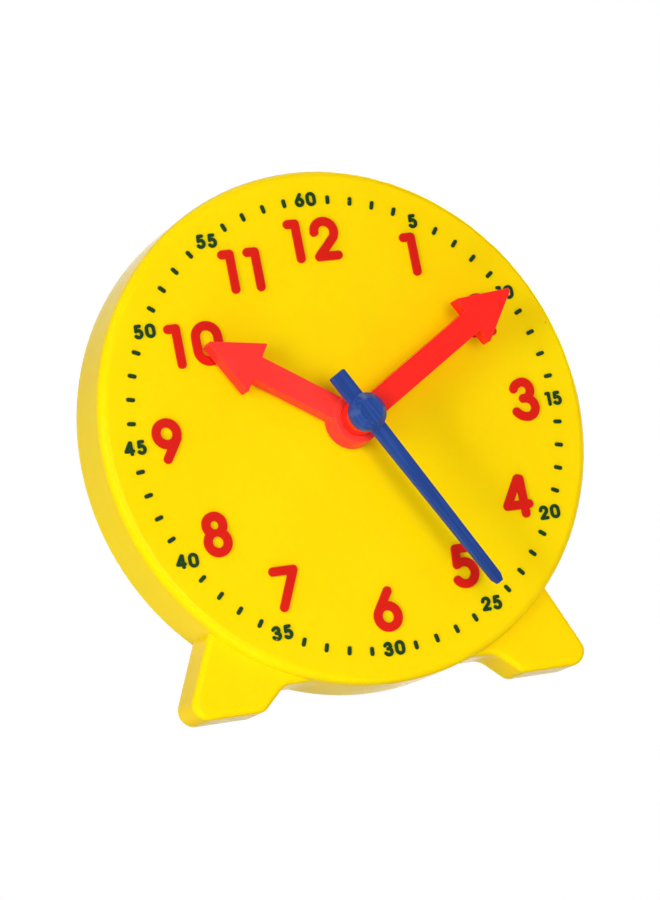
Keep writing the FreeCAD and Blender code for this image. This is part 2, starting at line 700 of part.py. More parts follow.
def make_arrow_hand(label, angle, reach, blade_back, hub_back, hub_top, hub_radius, hub_taper, bore):
    body = new_body(label, turn=angle)
    blade_top = "(%s + blade_thickness)" % blade_back
    sketch = dial_sketch(body, label + "_blade", "-" + blade_top)
    add_outline(sketch, arrow_corners(reach))
    pad(body, sketch, "blade_thickness")
    hub = [
        ("-" + hub_back, "0"),
        ("-" + hub_back, hub_radius),
        ("-" + hub_top, "%s - %s" % (hub_radius, hub_taper)),
        ("-" + hub_top, "0"),
    ]
    turned(body, label + "_hub", hub)

    def head_corner(edge):
        ends = [vertex.Point for vertex in edge.Vertexes]
        return all(abs(abs(end.x) - value("head_width / 2")) < tolerance for end in ends)

    def top_edge(edge):
        return in_plane(edge, "-" + hub_top)

    def blade_edge(edge):
        return in_plane(edge, "-" + blade_top) and radius_of(edge) > value(hub_radius)

    dress(body, "Fillet", label + "_corners", head_corner, "head_corner_rounding")
    if hub_top == blade_top:
        dress(body, "Fillet", label + "_edges", top_edge, "hand_edge_rounding")
    else:
        dress(body, "Fillet", label + "_edges", blade_edge, "hand_edge_rounding")
        dress(body, "Fillet", label + "_hub_edge", top_edge, "hub_edge_rounding")
    round_hole(body, label + "_bore", "-" + hub_top, "%s - %s" % (hub_top, hub_back), bore)


def make_second_hand():
    body = new_body("second_hand", turn="second_angle")
    bevel_foot = "-(%s - cap_bevel_height)" % CAP_TOP
    turned(
        body,
        "cap",
        [
            ("-" + SECOND_BACK, "0"),
            ("-" + SECOND_BACK, "cap_radius"),
            (bevel_foot, "cap_radius"),
            ("-" + CAP_TOP, "cap_radius - cap_bevel_width"),
            ("-" + CAP_TOP, "0"),
        ],
    )
    second_top = "(%s + second_thickness)" % SECOND_BACK
    right = [
        ("second_tail_width / 2", "-second_tail"),
        ("second_tail_width / 2", "0"),
        ("second_root_width / 2", "0"),
        ("second_tip_width / 2", "second_reach - second_tip_taper"),
        ("second_point_width / 2", "second_reach"),
    ]
    sketch = dial_sketch(body, "second_blade", "-" + second_top)
    add_outline(sketch, right + [("-" + across, up) for across, up in reversed(right)])
    pad(body, sketch, "second_thickness")

    def tail_corner(edge):
        first, last = edge.Vertexes[0].Point, edge.Vertexes[-1].Point
        at_end = abs(first.z + value("second_tail")) < tolerance
        return at_end and abs(first.x - last.x) < tolerance and abs(first.z - last.z) < tolerance

    dress(body, "Fillet", "tail_corners", tail_corner, "tail_corner_rounding")
    dress(body, "Fillet", "second_edges", lambda edge: in_plane(edge, "-" + second_top), "hand_edge_rounding")
    bore_length = "(cap_height - cap_roof)"
    round_hole(body, "second_bore", "-(%s + %s)" % (SECOND_BACK, bore_length), bore_length, ARBOR_BORE)


# The gears. A tooth's flank is an arc through three points of its involute.
def gear_face(teeth, module, addendum_share, first_tooth):
    """Face of a gear round the origin, whose first tooth points along an angle."""
    pitch_radius = module * teeth / 2
    pressure = math.radians(value("pressure_angle"))
    base_radius = pitch_radius * math.cos(pressure)
    tip_radius = pitch_radius + addendum_share * module
    root_radius = pitch_radius - dedendum_share * module
    tooth_width = math.pi * module / 2 - value("tooth_backlash")
    pitch_half = tooth_width / (2 * pitch_radius) + math.tan(pressure) - pressure

    def half_angle(radius):
        roll = math.acos(min(1, base_radius / radius))
        return math.degrees(pitch_half - math.tan(roll) + roll)

    flank_start = max(base_radius, root_radius)
    flank_radii = [flank_start, (flank_start + tip_radius) / 2, tip_radius]
    centre = FreeCAD.Vector()
    edges = []
    for number in range(teeth):
        middle = first_tooth + 360 * number / teeth
        rise = [around(centre, radius, middle - half_angle(radius)) for radius in flank_radii]
        fall = [around(centre, radius, middle + half_angle(radius)) for radius in reversed(flank_radii)]
        foot_angle = half_angle(flank_start)
        if root_radius < base_radius:
            root = around(centre, root_radius, middle - foot_angle)
            edges.append(Part.LineSegment(root, rise[0]).toShape())
        edges.append(Part.Arc(*rise).toShape())
        edges.append(Part.Arc(rise[2], around(centre, tip_radius, middle), fall[0]).toShape())
        edges.append(Part.Arc(*fall).toShape())
        next_foot = middle + 360 / teeth - foot_angle
        root = around(centre, root_radius, middle + foot_angle)
        if root_radius < base_radius:
            edges.append(Part.LineSegment(fall[2], root).toShape())
        valley = around(centre, root_radius, (middle + foot_angle + next_foot) / 2)
        edges.append(Part.Arc(root, valley, around(centre, root_radius, next_foot)).toShape())
    return Part.Face(Part.Wire(edges))


def toothed_blank(name, teeth, module, addendum_share, first_tooth, front, back):
    """A solid toothed disc round the origin, between two depths."""
    face = gear_face(teeth, module, addendum_share, first_tooth)
    face.translate(FreeCAD.Vector(0, value(front), 0))
    blank = doc.addObject("Part::Feature", name)
    blank.Shape = face.extrude(FreeCAD.Vector(0, value(back) - value(front), 0))
    return blank


def body_on_blank(label, blank, across="0", up="0"):
    body = new_body(label, across, up)
    body.BaseFeature = blank
    doc.recompute()
    return body


def lighten(body, name, front, back):
    """A ring of round holes through the disc of a wheel."""
    length = "%s - %s" % (back, front)
    radius, circle = ("case_radius * %s" % share for share in (wheel_hole_share, wheel_hole_circle_share))
    hole = round_hole(body, name, front, length, radius, "0", circle)
    repeat_round(body, [hole], "wheel_hole_count")


pinion_teeth = int(value("pinion_teeth"))
idler_teeth = int(value("idler_teeth"))
hour_teeth = int(value("hour_teeth"))
module = value(GEAR_MODULE)
hour_module = value(HOUR_MODULE)


def make_hour_wheel():
    # A gap between two teeth points straight down at the idler.
    first = -90 + 180 / hour_teeth
    ends = (HOUR_WHEEL_FRONT, HOUR_WHEEL_BACK)
    blank = toothed_blank("hour_teeth_blank", hour_teeth, hour_module, wheel_addendum_share, first, *ends)
    body = body_on_blank("hour_wheel", blank)
    pipe_top = "(hour_hub_top - hand_gap)"
    round_disc(body, "pipe", "-" + pipe_top, "%s + %s" % (pipe_top, HOUR_WHEEL_FRONT), PIPE_RADIUS)
    round_hole(body, "pipe_bore", "-" + pipe_top, "%s + %s" % (pipe_top, HOUR_WHEEL_BACK), PIPE_BORE)
    lighten(body, "hour_wheel_holes", *ends)


def make_minute_arbor():
    # A tooth points straight down at the idler.
    ends = (MINUTE_PINION_FRONT, MINUTE_PINION_BACK)
    blank = toothed_blank("minute_teeth_blank", pinion_teeth, module, pinion_addendum_share, -90, *ends)
    body = body_on_blank("minute_arbor", blank)
    tube_top = "(%s - hand_gap)" % MINUTE_TOP
    round_disc(body, "tube", "-" + tube_top, "%s + %s" % (tube_top, MINUTE_PINION_FRONT), ARBOR_RADIUS)
    round_hole(body, "tube_bore", "-" + tube_top, "%s + %s" % (tube_top, MINUTE_PINION_BACK), ARBOR_BORE)


def make_idler_gear():
    # The wheel has a gap and the pinion has a tooth straight up.
    wheel = toothed_blank(
        "idler_wheel_blank",
        idler_teeth,
        module,
        wheel_addendum_share,
        90 + 180 / idler_teeth,
        IDLER_WHEEL_FRONT,
        IDLER_WHEEL_BACK,
    )
    pinion = toothed_blank(
        "idler_pinion_blank",
        pinion_teeth,
        hour_module,
        pinion_addendum_share,
        90,
        IDLER_PINION_FRONT,
        IDLER_WHEEL_FRONT,
    )
    blank = doc.addObject("Part::Fuse", "idler_blank")
    blank.Base = wheel
    blank.Tool = pinion
    doc.recompute()
    body = body_on_blank("idler_gear", blank, "0", IDLER_DOWN)
    bore_length = "%s - %s" % (IDLER_WHEEL_BACK, IDLER_PINION_FRONT)
    round_hole(body, "idler_bore", IDLER_PINION_FRONT, bore_length, "shaft_radius")
    lighten(body, "idler_holes", IDLER_WHEEL_FRONT, IDLER_WHEEL_BACK)


# What carries the gears: the plate behind them, the centre post and the knob's shaft.
def add_arm(body, name, length, towards):
    """An arm of the gear plate, from the centre post to a round end that points up or down."""
    end = towards + length
    sketch = dial_sketch(body, name, PLATE_FRONT)
    add_outline(
        sketch,
        [
            ("-plate_arm_radius", "0"),
            ("plate_arm_radius", "0"),
            ("plate_arm_radius", end),
            ("-plate_arm_radius", end),
        ],
    )
    arm = pad(body, sketch, PLATE_THICKNESS)
    tip = round_disc(body, name + "_tip", PLATE_FRONT, PLATE_THICKNESS, "plate_arm_radius", "0", end)
    return [arm, tip]


def make_gear_plate():
    body = new_body("gear_plate")
    round_disc(body, "middle", PLATE_FRONT, PLATE_THICKNESS, "plate_centre_radius")
    add_arm(body, "bearing_arm", CENTRE_DISTANCE, "-")
    arm = add_arm(body, "screw_arm", PLATE_SCREW_CIRCLE, "")
    hole = round_hole(body, "screw_pass", PLATE_FRONT, PLATE_THICKNESS, SCREW_PASS, "0", PLATE_SCREW_CIRCLE)
    repeat_round(body, arm + [hole], "plate_screw_count")
    round_hole(body, "post_hole", PLATE_FRONT, PLATE_THICKNESS, "post_radius")
    shaft_pass = "shaft_radius + running_gap"
    round_hole(body, "bearing_hole", PLATE_FRONT, PLATE_THICKNESS, shaft_pass, "0", IDLER_DOWN)


def make_center_post():
    body = new_body("center_post")
    post_end = "-(%s - cap_roof - washer_dish)" % CAP_TOP
    head_back = "%s + post_head_height" % PLATE_BACK
    profile = [
        (post_end, "0"),
        (post_end, "post_radius"),
        (PLATE_BACK, "post_radius"),
        (PLATE_BACK, "post_head_radius"),
        (head_back, "post_head_radius"),
        (head_back, "0"),
    ]
    turned(body, "post", profile)


def make_knob_shaft():
    body = new_body("knob_shaft", "0", IDLER_DOWN)
    profile = [
        (SHAFT_FRONT, "0"),
        (SHAFT_FRONT, "shaft_radius"),
        (SHAFT_BACK, "shaft_radius"),
        (SHAFT_BACK, "knob_screw_shank_radius"),
        ("%s - knob_screw_bite" % SHAFT_BACK, "knob_screw_shank_radius"),
        ("%s - knob_screw_bite" % SHAFT_BACK, "0"),
    ]
    turned(body, "shaft", profile)


def make_set_knob():
    body = new_body("set_knob", "0", IDLER_DOWN)
    round_disc(body, "knob", KNOB_FRONT, "knob_height", "knob_radius")
    dress(body, "Fillet", "knob_edge", lambda edge: in_plane(edge, KNOB_BACK), "knob_rounding")
    flute_centre = "knob_radius + knob_flute_radius - knob_flute_depth"
    flute = round_hole(body, "flute", KNOB_FRONT, "knob_height", "knob_flute_radius", "0", flute_centre)
    repeat_round(body, [flute], "knob_flute_count")
    round_hole(body, "knob_recess", KNOB_SEAT, "knob_recess_depth", "knob_recess_radius")
    seat_depth = "%s - %s" % (KNOB_SEAT, SHAFT_BACK)
    round_hole(body, "knob_pass", SHAFT_BACK, seat_depth, "knob_screw_shank_radius + screw_hole_gap")
    round_hole(body, "knob_socket", KNOB_FRONT, "knob_socket_depth", "shaft_radius")


# The small fastenings.
def make_screws(label, head_front, head_height, head_radius, shank_radius, bite_end, where, count):
    """Round-headed screws with a cross recess, one or a ring of them."""
    body = new_body(label, *where["origin"])
    head_back = "(%s + %s)" % (head_front, head_height)
    profile = [
        (bite_end, "0"),
        (bite_end, shank_radius),
        (head_front, shank_radius),
        (head_front, head_radius),
        (head_back, head_radius),
        (head_back, "0"),
    ]
    across, up = where["axis"]
    screw = turned(body, label + "_profile", profile, across, up)
    originals = [screw]
    for number, (wide, tall) in enumerate([("cross_length", "cross_width"), ("cross_width", "cross_length")]):
        sketch = dial_sketch(body, "%s_slot_%d" % (label, number), "%s - cross_depth" % head_back)
        corners = [
            ("%s %s %s / 2" % (across, side, wide), "%s %s %s / 2" % (up, height, tall))
            for side, height in (("-", "-"), ("+", "-"), ("+", "+"), ("-", "+"))
        ]
        add_outline(sketch, corners)
        originals.append(pocket(body, sketch, "cross_depth"))
    if count:
        repeat_round(body, originals, count)


def make_fastenings():
    at_centre = ("0", "0")
    make_screws(
        "case_screws",
        "(case_depth - case_screw_head_height)",
        "case_screw_head_height",
        "screw_head_radius",
        "screw_shank_radius",
        "(%s - case_screw_bite)" % COVER_FRONT,
        {"origin": at_centre, "axis": on_circle(CASE_SCREW_CIRCLE, "case_screw_angle")},
        "case_screw_count",
    )
    make_screws(
        "plate_screws",
        PLATE_BACK,
        "plate_screw_head_height",
        "screw_head_radius",
        "screw_shank_radius",
        "(%s - plate_screw_bite)" % PLATE_FRONT,
        {"origin": at_centre, "axis": on_circle(PLATE_SCREW_CIRCLE, "plate_screw_angle")},
        "plate_screw_count",
    )
    make_screws(
        "knob_screw",
        KNOB_SEAT,
        "knob_screw_head_height",
        "knob_screw_head_radius",
        "knob_screw_shank_radius",
        "(%s - knob_screw_bite)" % SHAFT_BACK,
        {"origin": ("0", IDLER_DOWN), "axis": at_centre},
        None,
    )


def make_washer(label, front, hole, radius, origin):
    """A dished spring washer whose inner edge bears at the front."""
    body = new_body(label, *origin)
    inner_back = "(%s + washer_thickness)" % front
    profile = [
        (front, hole),
        (inner_back, hole),
        ("(%s + washer_dish)" % inner_back, radius),
        ("(%s + washer_dish)" % front, radius),
    ]
    turned(body, label + "_profile", profile)


make_front_case()
make_back_cover()
make_hour_numerals()
make_minute_numbers()
make_minute_ticks()
make_arrow_hand(
    "hour_hand",
    "hour_angle",
    "hour_reach",
    "hour_blade_height",
    "hub_seat_gap",
    "hour_hub_top",
    "hour_hub_radius",
    "hour_hub_taper",
    PIPE_RADIUS,
)
make_arrow_hand(
    "minute_hand",
    "minute_angle",
    "minute_reach",
    MINUTE_HUB_BACK,
    MINUTE_HUB_BACK,
    MINUTE_TOP,
    "minute_hub_radius",
    "0",
    ARBOR_RADIUS,
)
make_second_hand()
make_hour_wheel()
make_minute_arbor()
make_idler_gear()
make_gear_plate()
make_center_post()
make_knob_shaft()
make_set_knob()
make_fastenings()
make_washer(
    "dial_washer",
    "dial_thickness",
    "%s + washer_hole_gap" % DIAL_BORE,
    "dial_washer_radius",
    ("0", "0"),
)
make_washer(
    "tension_washer",
    IDLER_WHEEL_BACK,
    "shaft_radius + washer_hole_gap",
    "tension_washer_radius",
    ("0", IDLER_DOWN),
)

doc.recompute()
for item in doc.Objects:
    if "Invalid" in item.State or "Error" in item.State:
        raise ValueError("%s is %s" % (item.Name, item.State))
for node in nodes:
    if node.Shape.isNull() or not node.Shape.isValid() or not node.Shape.Solids:
        raise ValueError(node.Label + " has no valid solid")

os.makedirs("parts", exist_ok=True)
for node in nodes:
    node.Shape.exportStep("parts/%s.step" % node.Label)
    print("%s: %d solids, %.1f mm3" % (node.Label, len(node.Shape.Solids), node.Shape.Volume))
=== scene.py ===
import json
import math

import bpy
from mathutils import Matrix, Vector

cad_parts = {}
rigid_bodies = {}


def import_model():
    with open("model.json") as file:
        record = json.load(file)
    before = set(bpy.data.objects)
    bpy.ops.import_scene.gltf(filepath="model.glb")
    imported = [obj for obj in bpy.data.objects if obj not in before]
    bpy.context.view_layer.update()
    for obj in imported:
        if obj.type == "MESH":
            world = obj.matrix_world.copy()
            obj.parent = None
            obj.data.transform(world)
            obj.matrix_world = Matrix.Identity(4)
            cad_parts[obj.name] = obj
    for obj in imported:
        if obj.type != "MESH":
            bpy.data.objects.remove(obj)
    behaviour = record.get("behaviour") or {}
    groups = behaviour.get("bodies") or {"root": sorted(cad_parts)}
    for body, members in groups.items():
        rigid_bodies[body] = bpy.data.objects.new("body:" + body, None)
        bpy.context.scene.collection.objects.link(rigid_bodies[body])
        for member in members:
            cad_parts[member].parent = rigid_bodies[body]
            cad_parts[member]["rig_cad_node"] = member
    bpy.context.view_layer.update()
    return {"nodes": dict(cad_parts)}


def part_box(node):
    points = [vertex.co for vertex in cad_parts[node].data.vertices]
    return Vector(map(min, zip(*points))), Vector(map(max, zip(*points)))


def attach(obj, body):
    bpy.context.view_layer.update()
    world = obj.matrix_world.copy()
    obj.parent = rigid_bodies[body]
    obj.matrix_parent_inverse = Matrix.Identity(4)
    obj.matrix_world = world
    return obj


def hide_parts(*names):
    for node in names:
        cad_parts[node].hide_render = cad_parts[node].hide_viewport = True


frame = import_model()

MM = 0.001

# places read from the frame
case_low, case_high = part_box("front_case")
CASE_RADIUS = (case_high.x - case_low.x) / 2
DIAL_FACE = case_low.y
DIAL_MIDDLE = Vector((0.0, DIAL_FACE, case_high.z - CASE_RADIUS))
COVER_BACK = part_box("back_cover")[1].y

# limits for merged points, flat faces, smooth edges and faces that count as the front
MERGE_WITHIN = 0.001 * MM
FLAT_WITHIN = math.radians(0.1)
SMOOTH_UP_TO = math.radians(35.0)
FRONT_DEPTH = 0.05 * MM

# roundings of the raised figures
NUMERAL_ROUNDING = 0.14 * MM
MARK_ROUNDING = 0.07 * MM

# marks of the mould's pins on the cover
PIN_RADIUS = 2.2 * MM
PIN_STANDS = 0.1 * MM
PIN_ROOT = 0.3 * MM
PIN_RIM = 0.3 * MM
PIN_STEP = 0.1 * MM
PIN_DIP = 0.07 * MM
PIN_ROUNDING = 0.04 * MM
PIN_ASIDE = 24.0 * MM
PIN_ABOVE = 14.4 * MM
PIN_BELOW = 11.6 * MM
PIN_SIDES = 48

# widths of tinted edges: rubbed skin (fine), painted highlights (hands and pointer), painted
# shade (numerals)
FINE_EDGE = 0.1 * MM
HAND_HIGHLIGHT_WIDTH = 0.15 * MM
NUMERAL_SHADE_WIDTH = 0.2 * MM

# finishes: how far the second pointer stands past twelve at rest, how pale a rubbed edge is
# between its own colour and white, and what tarnish leaves of a metal's colour
POINTER_TURN = math.radians(150.0)
WORN_PALENESS = 0.4
TARNISHED_SHARE = 0.8

# colours, each followed by the same colour where it flowed thicker
CASE_YELLOW = (0.99, 0.69, 0.002)
CASE_YELLOW_DEEP = (0.97, 0.65, 0.001)
PRESSED_YELLOW = (0.985, 0.68, 0.003)
PRESSED_YELLOW_DEEP = (0.97, 0.64, 0.002)
NUMERAL_RED = (0.68, 0.012, 0.005)
NUMERAL_RED_DEEP = (0.6, 0.009, 0.004)
MARK_GREEN = (0.009, 0.046, 0.009)
MARK_GREEN_DEEP = (0.005, 0.03, 0.006)
# the hour hand's red is paler and pinker than the minute hand's: a painted reflection of the
# white surroundings
HOUR_HAND_RED = (0.95, 0.045, 0.036)
HOUR_HAND_RED_DEEP = (0.93, 0.03, 0.024)
MINUTE_HAND_RED = (0.93, 0.02, 0.013)
MINUTE_HAND_RED_DEEP = (0.9, 0.015, 0.01)
POINTER_BLUE = (0.013, 0.05, 0.25)
POINTER_BLUE_DEEP = (0.008, 0.032, 0.17)
KNOB_RED = (0.9, 0.024, 0.016)
KNOB_RED_DEEP = (0.86, 0.02, 0.012)
GEAR_WHITE = (0.83, 0.82, 0.78)
GEAR_WHITE_DEEP = (0.78, 0.77, 0.72)
GEAR_RED = (0.75, 0.04, 0.03)
GEAR_RED_DEEP = (0.7, 0.03, 0.02)
GEAR_BLUE = (0.03, 0.12, 0.45)
GEAR_BLUE_DEEP = (0.02, 0.1, 0.4)
PLATE_GREY = (0.45, 0.46, 0.47)
PLATE_GREY_DEEP = (0.4, 0.41, 0.42)

# colours of dust, rubbed edges, painted shade on the numerals' edges, painted highlights on the
# hands' and pointer's edges, bare spots and metals
DUST_BROWN = (0.35, 0.16, 0.02)
PRESSED_YELLOW_EDGE = (0.99, 0.74, 0.03)
NUMERAL_SHADE_RED = (0.45, 0.006, 0.004)
BARE_YELLOW = (0.6, 0.42, 0.02)
HAND_HIGHLIGHT_RED = (1.0, 0.28, 0.22)
STREAK_BLUE = (0.03, 0.095, 0.36)
POINTER_HIGHLIGHT_BLUE = (0.07, 0.2, 0.58)
STEEL = (0.62, 0.62, 0.63)
BRASS = (0.78, 0.57, 0.25)

# the photograph's camera, solved from the ring of minute marks
PHOTO_HEIGHT = 900
FOCAL_PIXELS = 3816.5
SENSOR_WIDTH = 36.0
CAMERA_SHIFT = (-0.00078, 0.00037)
CAMERA_FROM_DIAL = Vector((-301.17, -645.43, -120.02)) * MM
CAMERA_RIGHT = Vector((0.90455, -0.38105, -0.1913))
CAMERA_BACK = Vector((-0.41178, -0.8971, -0.16014))
CAMERA_NEAR = 10.0 * MM


def nodes_of(material):
    material.use_nodes = True
    tree = material.node_tree
    shader = next(n for n in tree.nodes if n.type == "BSDF_PRINCIPLED")
    return tree, shader


def add_node(tree, kind, **settings):
    node = tree.nodes.new(kind)
    for name, setting in settings.items():
        setattr(node, name, setting)
    return node


def feed(tree, part, socket):
    """Links an output to the socket, or sets a number or a colour there."""
    if isinstance(part, bpy.types.NodeSocket):
        tree.links.new(part, socket)
    elif isinstance(part, tuple):
        socket.default_value = (*part, 1.0)
    else:
        socket.default_value = part


def object_place(tree, finer=(1.0, 1.0, 1.0), turn=0.0):
    """Place on the piece, turned as a hand of the clock is, and so many times finer each way."""
    coordinates = add_node(tree, "ShaderNodeTexCoord")
    mapping = add_node(tree, "ShaderNodeMapping", vector_type="TEXTURE")
    mapping.inputs["Rotation"].default_value = (0.0, turn, 0.0)
    mapping.inputs["Scale"].default_value = tuple(1.0 / part for part in finer)
    tree.links.new(coordinates.outputs["Object"], mapping.inputs["Vector"])
    return mapping.outputs["Vector"]


def noise(tree, place, per_metre, detail=2.0, roughness=0.5):
    texture = add_node(tree, "ShaderNodeTexNoise")
    texture.inputs["Scale"].default_value = per_metre
    texture.inputs["Detail"].default_value = detail
    texture.inputs["Roughness"].default_value = roughness
    tree.links.new(place, texture.inputs["Vector"])
    return texture.outputs["Fac"]


def ramp(tree, factor, low, high, low_at=0.0, high_at=1.0):
    """From low to high, while the factor goes from low_at to high_at."""
    node = add_node(tree, "ShaderNodeMapRange")
    node.inputs["From Min"].default_value = low_at
    node.inputs["From Max"].default_value = high_at
    node.inputs["To Min"].default_value = low
    node.inputs["To Max"].default_value = high
    tree.links.new(factor, node.inputs["Value"])
    return node.outputs["Result"]


def calculate(tree, operation, first, second):
    node = add_node(tree, "ShaderNodeMath", operation=operation)
    feed(tree, first, node.inputs[0])
    feed(tree, second, node.inputs[1])
    return node.outputs["Value"]


def blend_colours(tree, factor, first, second):
    node = add_node(tree, "ShaderNodeMix", data_type="RGBA")
    tree.links.new(factor, node.inputs["Factor"])
    for letter, colour in (("A", first), ("B", second)):
        socket = next(s for s in node.inputs if s.name == letter and s.type == "RGBA")
        feed(tree, colour, socket)
    return next(s for s in node.outputs if s.type == "RGBA")


def edge_mask(tree, width):
    """1 on the edges of a piece, to that width, and 0 on its flats."""
    rounded = add_node(tree, "ShaderNodeBevel", samples=4)
    rounded.inputs["Radius"].default_value = width
    surface = add_node(tree, "ShaderNodeNewGeometry")
    likeness = add_node(tree, "ShaderNodeVectorMath", operation="DOT_PRODUCT")
    tree.links.new(rounded.outputs["Normal"], likeness.inputs[0])
    tree.links.new(surface.outputs["Normal"], likeness.inputs[1])
    return ramp(tree, likeness.outputs["Value"], 1.0, 0.0, low_at=0.8, high_at=0.99)


def specks(tree, place, per_metre, size_share, cell_share):
    """Small dots in a share of the cells, their radius a share of the cells' spacing."""
    cells = add_node(tree, "ShaderNodeTexVoronoi")
    cells.inputs["Scale"].default_value = per_metre
    tree.links.new(place, cells.inputs["Vector"])
    distance = cells.outputs["Distance"]
    dot = ramp(tree, distance, 1.0, 0.0, low_at=size_share * 0.7, high_at=size_share)
    chance = add_node(tree, "ShaderNodeSeparateColor")
    tree.links.new(cells.outputs["Color"], chance.inputs["Color"])
    red = chance.outputs["Red"]
    chosen = ramp(tree, red, 1.0, 0.0, low_at=cell_share, high_at=cell_share + 0.01)
    return calculate(tree, "MULTIPLY", dot, chosen)


def bumps(tree, shader, height, strength, depth):
    skin = add_node(tree, "ShaderNodeBump")
    skin.inputs["Strength"].default_value = strength
    skin.inputs["Distance"].default_value = depth
    tree.links.new(height, skin.inputs["Height"])
    tree.links.new(skin.outputs["Normal"], shader.inputs["Normal"])


def scuffed(tree, shader, place, shine):
    """Roughness: cloudy handling marks with fine hair scratches over them."""
    cloud = noise(tree, place, per_metre=160.0, detail=4.0, roughness=0.6)
    cloudy = ramp(tree, cloud, shine - 0.05, shine + 0.07, low_at=0.3, high_at=0.7)
    along = object_place(tree, finer=(40.0, 8.0, 1.5))
    hair = noise(tree, along, per_metre=90.0, detail=3.0, roughness=0.7)
    scratched = ramp(tree, hair, 1.0, 1.3, low_at=0.55, high_at=0.7)
    rough = calculate(tree, "MULTIPLY", cloudy, scratched)
    tree.links.new(rough, shader.inputs["Roughness"])


def moulded_plastic(name, colour, deep, shine, level, wave=0.4 * MM, waves_per_metre=420.0):
    """Moulded plastic: slow flow of the colour, faint waves in the skin and scuffs."""
    material = bpy.data.materials.new(name)
    tree, shader = nodes_of(material)
    place = object_place(tree)
    drift = noise(tree, place, per_metre=28.0, detail=3.0)
    flow = ramp(tree, drift, 0.0, 1.0, low_at=0.35, high_at=0.7)
    tint = blend_colours(tree, flow, colour, deep)
    tree.links.new(tint, shader.inputs["Base Color"])
    scuffed(tree, shader, place, shine)
    skin = noise(tree, place, waves_per_metre, detail=2.0, roughness=0.4)
    bumps(tree, shader, skin, strength=0.05, depth=wave)
    shader.inputs["Specular IOR Level"].default_value = level
    return material, tree, shader, tint


def edge_tint(tree, shader, tint, colour, width, share):
    """The edges in another colour, broken up: rubbed or thin skin on the plain parts and pin
    marks, painted highlights on the hands and pointer, painted shade on the numerals.
    """
    wear_and_painted_light = noise(tree, object_place(tree), per_metre=900.0, detail=3.0)
    broken = ramp(tree, wear_and_painted_light, 0.2, 1.0, low_at=0.4, high_at=0.6)
    edges = calculate(tree, "MULTIPLY", edge_mask(tree, width), broken)
    mask = calculate(tree, "MULTIPLY", edges, share)
    tree.links.new(blend_colours(tree, mask, tint, colour), shader.inputs["Base Color"])


def see_light_through(shader, depth, share):
    """Light spreads a little inside the plastic, the warm part of it farthest."""
    shader.inputs["Subsurface Weight"].default_value = share
    shader.inputs["Subsurface Radius"].default_value = (1.0, 0.4, 0.05)
    shader.inputs["Subsurface Scale"].default_value = depth


def case_plastic():
    """Glossy yellow, with a few dust specks in it."""
    material, tree, shader, tint = moulded_plastic(
        "case_yellow", CASE_YELLOW, CASE_YELLOW_DEEP, shine=0.12, level=0.03,
        wave=1.2 * MM, waves_per_metre=130.0,
    )
    dust = specks(tree, object_place(tree), per_metre=70.0, size_share=0.011, cell_share=0.35)
    tree.links.new(blend_colours(tree, dust, tint, DUST_BROWN), shader.inputs["Base Color"])
    see_light_through(shader, depth=2.5 * MM, share=0.5)
    return material


def cover_mark_plastic():
    """The case's yellow where the pins pressed it, a little duller."""
    material, tree, shader, tint = moulded_plastic(
        "pressed_yellow", PRESSED_YELLOW, PRESSED_YELLOW_DEEP, shine=0.3, level=0.05
    )
    edge_tint(tree, shader, tint, PRESSED_YELLOW_EDGE, FINE_EDGE, share=0.3)
    return material


def numeral_paint():
    """Red over raised figures, with painted shade that darkens their edges."""
    material, tree, shader, tint = moulded_plastic(
        "numeral_red", NUMERAL_RED, NUMERAL_RED_DEEP, shine=0.3, level=0.09
    )
    # the darker edges are painted shade
    edge_tint(tree, shader, tint, NUMERAL_SHADE_RED, NUMERAL_SHADE_WIDTH, share=0.7)
    return material


def mark_paint():
    """Dark green stamped on raised marks, thin in places, so that yellow dots show."""
    material, tree, shader, tint = moulded_plastic(
        "mark_green", MARK_GREEN, MARK_GREEN_DEEP, shine=0.4, level=0.08
    )
    bare = specks(tree, object_place(tree), per_metre=900.0, size_share=0.16, cell_share=0.1)
    tree.links.new(blend_colours(tree, bare, tint, BARE_YELLOW), shader.inputs["Base Color"])
    return material


def arrow_plastic(name, colour, deep):
    """Glossy red of the arrow hands, with paler edges that are painted highlights."""
    material, tree, shader, tint = moulded_plastic(name, colour, deep, shine=0.12, level=0.1)
    # the paler edges are painted highlights
    edge_tint(tree, shader, tint, HAND_HIGHLIGHT_RED, HAND_HIGHLIGHT_WIDTH, share=0.7)
    return material


def pointer_plastic():
    """Blue, with streaks that run along the pointer and paler edges that are painted highlights.
    """
    material, tree, shader, tint = moulded_plastic(
        "pointer_blue", POINTER_BLUE, POINTER_BLUE_DEEP, shine=0.14, level=0.12
    )
    along = object_place(tree, finer=(20.0, 20.0, 0.7), turn=POINTER_TURN)
    drawn = noise(tree, along, per_metre=100.0)
    streak = ramp(tree, drawn, 0.0, 0.5, low_at=0.45, high_at=0.65)
    streaked = blend_colours(tree, streak, tint, STREAK_BLUE)
    # the paler edges are painted highlights
    edge_tint(tree, shader, streaked, POINTER_HIGHLIGHT_BLUE, HAND_HIGHLIGHT_WIDTH, share=0.6)
    return material


def plain_plastic(name, colour, deep):
    """Gears, plate and knob: scuffed and paler where their edges rub."""
    material, tree, shader, tint = moulded_plastic(name, colour, deep, shine=0.35, level=0.2)
    paler = tuple((1.0 - WORN_PALENESS) * part + WORN_PALENESS for part in colour)
    edge_tint(tree, shader, tint, paler, FINE_EDGE, share=0.3)
    return material


